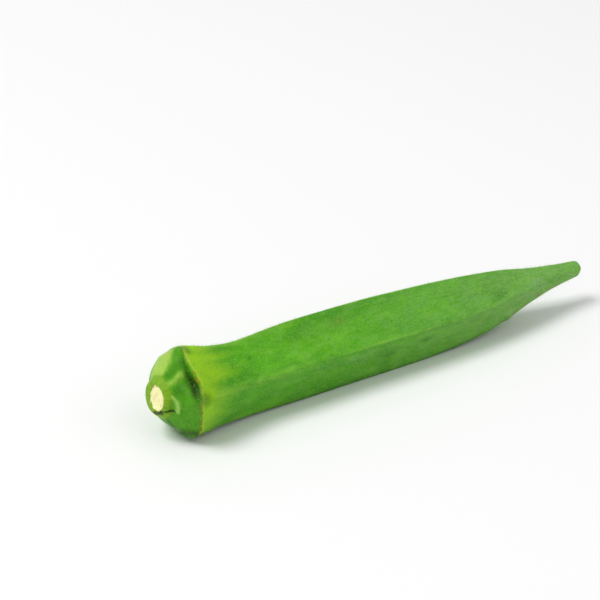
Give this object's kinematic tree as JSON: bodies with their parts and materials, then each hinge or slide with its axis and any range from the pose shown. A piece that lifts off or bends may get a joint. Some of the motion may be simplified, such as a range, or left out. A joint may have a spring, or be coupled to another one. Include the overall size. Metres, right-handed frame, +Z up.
{
  "type": "okra pod",
  "caption": "Whole okra pod lying on one flat side: short cut stem, lobed cap with a scarred edge, ridged tapering body and blunt pointed tip.",
  "frame": {"origin": "middle of the underside of the bounding box, on the surface that the pod lies on", "axes": "+X along the pod from the cut stem to the tip, +Z up, +Y across the pod"},
  "size_m": [0.1156, 0.021, 0.019],
  "materials": {
    "okra_skin": "soft satin green skin with a fine down"
  },
  "bodies": {
    "root": {"okra_pod": "okra_skin"}
  },
  "joints": []
}
